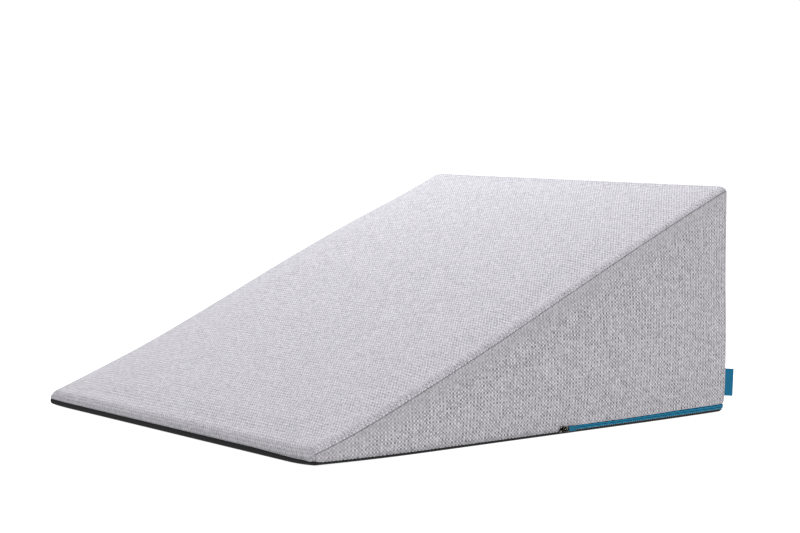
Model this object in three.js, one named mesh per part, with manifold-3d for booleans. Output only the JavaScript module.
// Wedge pillow: a foam wedge in a grey woven cover, with a black non-slip base, a teal zip round the back
// and a folded label in the back right seam. Millimetres, +Z up, origin on the floor under the middle.
// The thin edge faces -Y, the tall back faces +Y, and the side with the slider faces +X.
import * as THREE from "three";
import { mergeVertices } from "three/addons/utils/BufferGeometryUtils.js";
import Module from "manifold-3d";

const wasm = await Module();
wasm.setup();
const { lerp, clamp } = THREE.MathUtils;

// Driving dimensions of the cushion
const width = 612; // from side seam to side seam
const depth = 680; // from the thin edge to the back
const backHeight = 303; // at the crest
const thinHeight = 20; // at the thin edge
const cloth = 2; // thickness of a panel of the cover
const gap = 0.3; // between neighbouring pieces
const flatness = 0.01; // mesh lines that bend less than this are left out

// Roundings and fullness
const cornerRound = 4.5; // upright corners, in plan
const topRoll = { left: 21, right: 13 }; // how far the top rolls off towards the long seams
const topDrop = 8; // height that the roll-off takes up
const noseRound = 9; // thin edge, front to back
const crestRound = 5.5; // crest and upright back corners, front to back
const baseRound = 5; // round the base
const topCrown = 3; // middle of the slope above its long edges
const sideBow = 3; // middle of a side panel, outwards
const backBow = 4; // middle of the back, outwards
const cornerBow = { out: 1.15, from: 0.02, to: 0.58 }; // upright back corners, in this part of their height
const liftReach = { across: 54, along: 165 }; // over which a corner of the base curls up from the floor

// Seams, seen from the side
const seamBelowTop = { thinEdge: 9, crest: 6 }; // long seam below the edge of the slope
const seamFromBack = 2; // upright back seam
const seamFromThinEdge = 5; // where a side panel ends in front
const channelDepth = 1; // sewn channel of the long seam
const channelReach = 2.2; // half its width
const rim = { sides: 3, change: 14 }; // height of the turned-up base, and where that at the thin edge ends

// Zip
const zipTop = 10; // upper edge of the visible band
const zipLength = 300.5; // along each side, from the back
const zipLip = 5; // length over which the side panel rises to clear the slider
const slider = { long: 12, high: 8, thick: 1.2, arch: 2.8, archWide: 2.4, archLong: 8, wire: 1.2 };
const link = { long: 6.4, high: 5.6, thick: 1, bar: 1.2, slotLong: 4, slotHigh: 3.2 };
const grip = { long: 13, high: 6.4, thick: 1.8 };

// Label
const label = { out: 10.2, high: 36.5, thick: 1.3, fold: 1.9, above: 22, clear: 0.6 };
const labelLean = 0.033; // radians, its top away from the corner

// Height of the slope's two long edges over a straight line from the thin edge to the crest
const slopeLine = [
  { along: 0, left: -0.7, right: 0 },
  { along: 0.08, left: -3, right: -3.4 },
  { along: 0.22, left: -6, right: -5.2 },
  { along: 0.4, left: -3.7, right: -5.5 },
  { along: 0.58, left: 0.5, right: -2.5 },
  { along: 0.75, left: 1.4, right: 0 },
  { along: 0.9, left: -1.1, right: 0.6 },
  { along: 1, left: -0.1, right: 0 },
];
const [leftRise, rightRise] = ["left", "right"].map(
  (edge) =>
    new THREE.CubicInterpolant(
      slopeLine.map((row) => row.along),
      slopeLine.map((row) => row[edge]),
      1,
    ),
);

// Height of the turned-up base along the thin edge, by the distance from its right corner
const rimLine = [
  { fromRight: 0, height: 4.2 },
  { fromRight: 5, height: 4.2 },
  { fromRight: 14, height: 5.6 },
  { fromRight: 33, height: 6.3 },
  { fromRight: 56, height: 7 },
  { fromRight: 110, height: 8.2 },
  { fromRight: width, height: 8.2 },
];

// How far each corner of the base curls up from the floor
const cornerLift = [
  { x: -width / 2, y: -depth / 2, lift: 1 },
  { x: width / 2, y: -depth / 2, lift: 3 },
  { x: -width / 2, y: depth / 2, lift: 1 },
  { x: width / 2, y: depth / 2, lift: 1 },
];

// Share of the way from the thin edge to the back, and from the left side to the right
function alongSlope(y) {
  return clamp(y / depth + 0.5, 0, 1);
}

function acrossSlope(x) {
  return clamp(x / width + 0.5, 0, 1);
}

// Height of the slope before its edges are rounded and its middle is crowned
function slopeHeight(x, y) {
  const along = alongSlope(y);
  const rise = lerp(leftRise.evaluate(along)[0], rightRise.evaluate(along)[0], acrossSlope(x));
  return lerp(thinHeight, backHeight, along) + rise;
}

function seamHeight(x, y) {
  return slopeHeight(x, y) - lerp(seamBelowTop.thinEdge, seamBelowTop.crest, alongSlope(y));
}

function baseLift(x, y) {
  const away = (corner) =>
    Math.hypot((x - corner.x) / liftReach.across, (y - corner.y) / liftReach.along);
  const near = (corner) => Math.max(0, 1 - away(corner));
  return cornerLift.reduce((sum, corner) => sum + corner.lift * near(corner) ** 2, 0);
}

// Height of the base's rim: that of the thin edge, falling to that of the sides just behind it
function rimHeight(x, y) {
  const fromRight = clamp(width / 2 - x, 0, width);
  const next = Math.max(1, rimLine.findIndex((row) => row.fromRight >= fromRight));
  const [before, after] = [rimLine[next - 1], rimLine[next]];
  const share = (fromRight - before.fromRight) / (after.fromRight - before.fromRight);
  const thinEdge = lerp(before.height, after.height, share);
  const behind = (y + depth / 2 - seamFromThinEdge) / (rim.change - seamFromThinEdge);
  return lerp(thinEdge, rim.sides, clamp(behind, 0, 1));
}

// Lines of the mesh across the width and along the depth: close together where the skin is rounded
function meshLines(half, fromLow, fromHigh, cells) {
  const low = fromLow.map((d) => -half + d);
  const high = fromHigh.map((d) => half - d).reverse();
  const [first, last] = [low.at(-1), high[0]];
  const between = Array.from({ length: cells - 1 }, (_, i) => lerp(first, last, (i + 1) / cells));
  return [...low, ...between, ...high];
}

const xLines = meshLines(width / 2, [0, 2, 4.5, 9, 14, 21], [0, 2, 4.5, 8, 13, 20], 10);
const yLines = meshLines(depth / 2, [0, 3, 6, 9, 16], [0, 2, 3.8, 5.5, 14], 18);

// Heights of the mesh lines in one cross-section
function zLines(x, y) {
  const [seam, top] = [seamHeight(x, y), slopeHeight(x, y)];
  const low = baseRound;
  const high = seam - channelReach;
  const upright = [0, 0.12, 0.35, 0.6, 0.82].map((share) => lerp(low, high, share));
  return [0, low / 2, ...upright, high, seam, seam + channelReach, top];
}

// Moves a point of the plain wedge onto the skin of the filled cushion
function skinPoint(x, y, z, inset) {
  const top = slopeHeight(x, y);
  const level = z / top;
  const up = clamp(1 - (top - z) / topDrop, 0, 1);
  const down = clamp(1 - z / baseRound, 0, 1);
  const roll = lerp(cornerRound, x < 0 ? topRoll.left : topRoll.right, up);
  const endRound = y < 0 ? noseRound : crestRound;
  const near = new THREE.Vector3(
    clamp(1 - (width / 2 - Math.abs(x)) / roll, 0, 1),
    clamp(1 - (depth / 2 - Math.abs(y)) / endRound, 0, 1),
    up - down,
  );
  const round = near.clone().normalize();
  const seamGap = Math.abs(z - seamHeight(x, y)) / channelReach;
  const channel = channelDepth * Math.max(0, 1 - seamGap) ** 2 * near.x;
  const acrossShare = x / (width / 2);
  const depthShare = y / (depth / 2);
  const swell = Math.sin(Math.PI * level);

  const side = Math.sign(x);
  let px = x + side * (roll * (round.x - near.x) - channel);
  px += acrossShare * sideBow * swell * (1 - depthShare ** 2) * (top / backHeight);
  let py = y + Math.sign(y) * endRound * (round.y - near.y);
  py += Math.max(0, depthShare) ** 4 * backBow * swell * (1 - acrossShare ** 2);
  const bowed = clamp((level - cornerBow.from) / (cornerBow.to - cornerBow.from), 0, 1);
  const atCorner = (acrossShare * Math.max(0, depthShare)) ** 6;
  const cornerOut = cornerBow.out * Math.sin(Math.PI * bowed) * atCorner;
  px += side * cornerOut;
  py += cornerOut;
  const drop = (near.z > 0 ? topDrop : baseRound) * (round.z - near.z);
  const crown = topCrown * (1 - acrossShare ** 4) * (1 - depthShare ** 4);
  const lift = baseLift(x, y) * (1 - level * alongSlope(y));
  // the rounded nose and crest keep to the slope, so the height follows the moved place
  const height = (slopeHeight(x, py) / top) * z + drop + crown * level + lift;

  const shrink = 1 - (2 * inset) / (top + crown + lift);
  return [
    px * (1 - inset / (width / 2)),
    py * (1 - inset / (depth / 2)),
    inset + height * shrink,
  ];
}

function solidOf(geometry) {
  const bare = new THREE.BufferGeometry();
  bare.setAttribute("position", geometry.getAttribute("position"));
  bare.setIndex(geometry.index);
  const merged = mergeVertices(bare, 1e-4);
  return new wasm.Manifold(
    new wasm.Mesh({
      numProp: 3,
      vertProperties: merged.attributes.position.array,
      triVerts: new Uint32Array(merged.index.array),
    }),
  );
}

function geometryOf(solid) {
  const mesh = solid.simplify(flatness).getMesh();
  const geometry = new THREE.BufferGeometry();
  geometry.setAttribute("position", new THREE.BufferAttribute(mesh.vertProperties, 3));
  geometry.setIndex(new THREE.BufferAttribute(mesh.triVerts, 1));
  geometry.computeVertexNormals();
  return geometry;
}

// A solid with six meshed faces. ends are its counts of cells each way, point gives its corners
function sixFaces([xEnd, yEnd, zEnd], point) {
  const faces = [
    { rows: yEnd, columns: zEnd, at: (a, b) => point(xEnd, a, b) },
    { rows: zEnd, columns: yEnd, at: (a, b) => point(0, b, a) },
    { rows: zEnd, columns: xEnd, at: (a, b) => point(b, yEnd, a) },
    { rows: xEnd, columns: zEnd, at: (a, b) => point(a, 0, b) },
    { rows: xEnd, columns: yEnd, at: (a, b) => point(a, b, zEnd) },
    { rows: yEnd, columns: xEnd, at: (a, b) => point(b, a, 0) },
  ];
  const corners = [];
  for (const { rows, columns, at } of faces)
    for (let a = 0; a < rows; a++)
      for (let b = 0; b < columns; b++) {
        const [p, q, r, s] = [at(a, b), at(a + 1, b), at(a + 1, b + 1), at(a, b + 1)];
        corners.push(...p, ...q, ...r, ...p, ...r, ...s);
      }
  const geometry = new THREE.BufferGeometry();
  geometry.setAttribute("position", new THREE.Float32BufferAttribute(corners, 3));
  return solidOf(geometry);
}

// The whole filled wedge, meshed on the lines above
function filledWedge(inset) {
  const ends = [xLines, yLines, zLines(0, 0)].map((lines) => lines.length - 1);
  return sixFaces(ends, (i, j, k) => {
    const [x, y] = [xLines[i], yLines[j]];
    return skinPoint(x, y, zLines(x, y)[k], inset);
  });
}

// Turns an outline drawn in the XY plane to stand along the right side: its x along +Y, its y up
const [alongX, alongY, alongZ] = [0, 1, 2].map((axis) => new THREE.Vector3().setComponent(axis, 1));
const facingRight = new THREE.Matrix4().makeBasis(alongY, alongZ, alongX);

// A block with the given outline in the side view, from xLow to xHigh
function sideBlock(outline, xLow, xHigh) {
  const shape = new THREE.Shape(outline.map(([y, z]) => new THREE.Vector2(y, z)));
  const geometry = new THREE.ExtrudeGeometry(shape, { depth: xHigh - xLow, bevelEnabled: false });
  geometry.applyMatrix4(facingRight);
  geometry.translate(xLow, 0, 0);
  return solidOf(geometry);
}

// Outlines in the side view, grown by a margin where a pocket for the piece is cut
const [front, back] = [-depth / 2, depth / 2];
const beyond = 12; // how far a cutting block stands past the cushion
const zipStart = back - zipLength;

// Everything up to the rim of the base
function baseBlock(margin) {
  const inner = rimLine.map((row) => width / 2 - row.fromRight);
  const xs = [...inner, width / 2 + beyond, -width / 2 - beyond].sort((a, b) => a - b);
  const ys = [front - beyond, front + seamFromThinEdge, front + rim.change, back + beyond];
  return sixFaces([xs.length - 1, ys.length - 1, 1], (i, j, k) => {
    return [xs[i], ys[j], k ? rimHeight(xs[i], ys[j]) + margin : -beyond];
  });
}

function zipOutline(margin) {
  return [
    [zipStart - margin, rim.sides + gap - margin],
    [back + beyond, rim.sides + gap - margin],
    [back + beyond, zipTop + margin],
    [zipStart - margin, zipTop + margin],
  ];
}

function panelOutline(margin, side) {
  const [foremost, hindmost] = [front + seamFromThinEdge - margin, back - seamFromBack + margin];
  const seamPlaces = yLines.filter((y) => y > foremost && y < hindmost);
  const lower = [
    [foremost, rimHeight((side * width) / 2, front) + gap - margin],
    [front + rim.change, rim.sides + gap - margin],
    [zipStart - zipLip, rim.sides + gap - margin],
    [zipStart - gap, zipTop + gap - margin],
    [hindmost, zipTop + gap - margin],
  ];
  const upper = [foremost, ...seamPlaces, hindmost].map((y) => {
    const seam = seamHeight((side * width) / 2, y);
    return [y, seam + baseLift((side * width) / 2, y) * (1 - alongSlope(y)) - gap / 2 + margin];
  });
  return [...lower, ...upper.reverse()];
}

const whole = filledWedge(0);
const coverLayer = whole.subtract(filledWedge(cloth));
const pocketLayer = filledWedge(-beyond / 2).subtract(filledWedge(cloth + gap));
const sideLow = width / 2 - 2 * cloth; // a side panel reaches no further in than this
const sideHigh = width / 2 + beyond;
const acrossAll = [-width / 2 - beyond, width / 2 + beyond];

function sidePanel(layer, margin, side) {
  const [low, high] = [sideLow - margin, sideHigh];
  const range = side > 0 ? [low, high] : [-high, -low];
  return layer.intersect(sideBlock(panelOutline(margin, side), ...range));
}

const pockets = [
  sidePanel(pocketLayer, gap, 1),
  sidePanel(pocketLayer, gap, -1),
  pocketLayer.intersect(baseBlock(gap)),
  pocketLayer.intersect(sideBlock(zipOutline(gap), ...acrossAll)),
];
const cushion = pockets.reduce((rest, pocket) => rest.subtract(pocket), whole);

// A flat plate of the given outline with its edges rounded off, its back on the XY plane
function plate(outline, thick, edge) {
  const bevel = { bevelSize: edge, bevelOffset: -edge, bevelThickness: edge, bevelSegments: 2 };
  const straight = { depth: thick - 2 * edge, curveSegments: 6 };
  const geometry = new THREE.ExtrudeGeometry(outline, { ...straight, ...bevel });
  geometry.translate(0, 0, edge);
  return geometry;
}

// The dark slider: a shield-shaped wing with an arch over it, made lying in the XY plane
function sliderGeometry() {
  const { long, high, thick, arch, archWide, archLong, wire } = slider;
  const shield = new THREE.Shape();
  shield.moveTo(-long / 2, -high * 0.3);
  shield.quadraticCurveTo(-long / 2, -high / 2, -long * 0.2, -high / 2);
  shield.lineTo(long * 0.25, -high * 0.42);
  shield.quadraticCurveTo(long / 2, -high * 0.36, long / 2, 0);
  shield.quadraticCurveTo(long / 2, high * 0.36, long * 0.25, high * 0.42);
  shield.lineTo(-long * 0.2, high / 2);
  shield.quadraticCurveTo(-long / 2, high / 2, -long / 2, high * 0.3);
  const wing = plate(shield, thick, 0.3);

  const [outer, inner, sunk] = [archLong / 2, archLong / 2 - wire, thick / 2];
  const over = new THREE.Shape();
  over.moveTo(-outer, -sunk);
  over.lineTo(-outer, arch * 0.4);
  over.quadraticCurveTo(-outer, arch, 0, arch);
  over.quadraticCurveTo(outer, arch, outer, arch * 0.4);
  over.lineTo(outer, -sunk);
  over.lineTo(inner, -sunk);
  over.lineTo(inner, arch * 0.3);
  over.quadraticCurveTo(inner, arch - wire, 0, arch - wire);
  over.quadraticCurveTo(-inner, arch - wire, -inner, arch * 0.3);
  over.lineTo(-inner, -sunk);
  const bridge = new THREE.ExtrudeGeometry(over, { depth: archWide, curveSegments: 6, bevelEnabled: false });
  bridge.translate(0, 0, -archWide / 2);
  bridge.rotateX(Math.PI / 2);
  bridge.translate(0, 0, thick);
  return geometryOf(solidOf(wing).add(solidOf(bridge)));
}

// The link: the metal head of the pull, with a slot that one leg of the arch passes through
function linkGeometry() {
  const { long, high, thick, bar, slotLong, slotHigh } = link;
  const outline = new THREE.Shape();
  outline.moveTo(0, -high * 0.36);
  outline.lineTo(bar, -high / 2);
  outline.lineTo(long, -high / 2);
  outline.lineTo(long, high / 2);
  outline.lineTo(bar, high / 2);
  outline.lineTo(0, high * 0.36);
  const slot = new THREE.Path();
  slot.moveTo(bar, -slotHigh / 2);
  slot.lineTo(bar, slotHigh / 2);
  slot.lineTo(bar + slotLong, slotHigh / 2);
  slot.lineTo(bar + slotLong, -slotHigh / 2);
  outline.holes.push(slot);
  return plate(outline, thick, 0.15);
}

// The grip: the blue tab on the link, round at its free end
function gripGeometry() {
  const { long, high, thick } = grip;
  const outline = new THREE.Shape();
  outline.moveTo(0, -high * 0.4);
  outline.quadraticCurveTo(long * 0.15, -high / 2, long * 0.4, -high / 2);
  outline.lineTo(long - high / 2, -high / 2);
  outline.absarc(long - high / 2, 0, high / 2, -Math.PI / 2, Math.PI / 2, false);
  outline.lineTo(long * 0.4, high / 2);
  outline.quadraticCurveTo(long * 0.15, high / 2, 0, high * 0.4);
  return plate(outline, thick, 0.3);
}

// The label: a ribbon folded in two, its fold a little fuller than its root, made standing along +Z
function labelGeometry() {
  const { out, high, thick, fold } = label;
  const section = new THREE.Shape();
  section.moveTo(0, -thick / 2);
  section.lineTo(out * 0.6, -thick / 2);
  section.quadraticCurveTo(out, -fold * 0.8, out, 0);
  section.quadraticCurveTo(out, fold * 0.8, out * 0.6, thick / 2);
  section.lineTo(0, thick / 2);
  return new THREE.ExtrudeGeometry(section, { depth: high, curveSegments: 6, steps: 4, bevelEnabled: false });
}

const materials = {
  topCloth: new THREE.MeshStandardMaterial({ color: "#d2cfd6", roughness: 0.95, metalness: 0 }),
  sideCloth: new THREE.MeshStandardMaterial({ color: "#b2b0b5", roughness: 0.95, metalness: 0 }),
  baseCloth: new THREE.MeshStandardMaterial({ color: "#2b2b2c", roughness: 0.9, metalness: 0 }),
  zip: new THREE.MeshStandardMaterial({ color: "#1f6f8f", roughness: 0.6, metalness: 0 }),
  gunmetal: new THREE.MeshStandardMaterial({ color: "#4e4d4e", roughness: 0.35, metalness: 1 }),
  lacquer: new THREE.MeshStandardMaterial({ color: "#2f7391", roughness: 0.4, metalness: 0 }),
  ribbon: new THREE.MeshStandardMaterial({ color: "#1c7598", roughness: 0.6, metalness: 0 }),
};

function piece(name, geometry, material) {
  const mesh = new THREE.Mesh(geometry, material);
  mesh.name = name;
  return mesh;
}

const pillow = new THREE.Group();
pillow.add(
  piece("cushion_body", geometryOf(cushion), materials.topCloth),
  piece("side_panel_right", geometryOf(sidePanel(coverLayer, 0, 1)), materials.sideCloth),
  piece("side_panel_left", geometryOf(sidePanel(coverLayer, 0, -1)), materials.sideCloth),
  piece("base_panel", geometryOf(coverLayer.intersect(baseBlock(0))), materials.baseCloth),
  piece(
    "zip_tape",
    geometryOf(coverLayer.intersect(sideBlock(zipOutline(0), ...acrossAll))),
    materials.zip,
  ),
);

// The slider sits on the band where it starts on the right side, its link and grip lying back along it
const zipPull = new THREE.Group();
zipPull.position.set(width / 2 + 3 * gap, zipStart + slider.long / 2, (rim.sides + zipTop) / 2);
zipPull.quaternion.setFromRotationMatrix(facingRight);
const metalLink = piece("zip_link", linkGeometry(), materials.gunmetal);
metalLink.position.z = slider.thick + gap;
const blueGrip = piece("zip_grip", gripGeometry(), materials.lacquer);
blueGrip.position.set(link.long + gap, 0, slider.thick + gap + (link.thick - grip.thick) / 2);
zipPull.add(piece("zip_slider", sliderGeometry(), materials.gunmetal), metalLink, blueGrip);
pillow.add(zipPull);

// The label stands out of the upright back seam, halfway between right and back
const sideLabel = piece("side_label", labelGeometry(), materials.ribbon);
const [fromSide, fromBack] = [cornerRound, crestRound].map((r) => r * (1 - Math.SQRT1_2) - label.clear);
sideLabel.position.set(width / 2 - fromSide, depth / 2 - fromBack, label.above);
sideLabel.rotation.set(0, labelLean, Math.PI / 4, "ZYX");
pillow.add(sideLabel);

export default pillow;
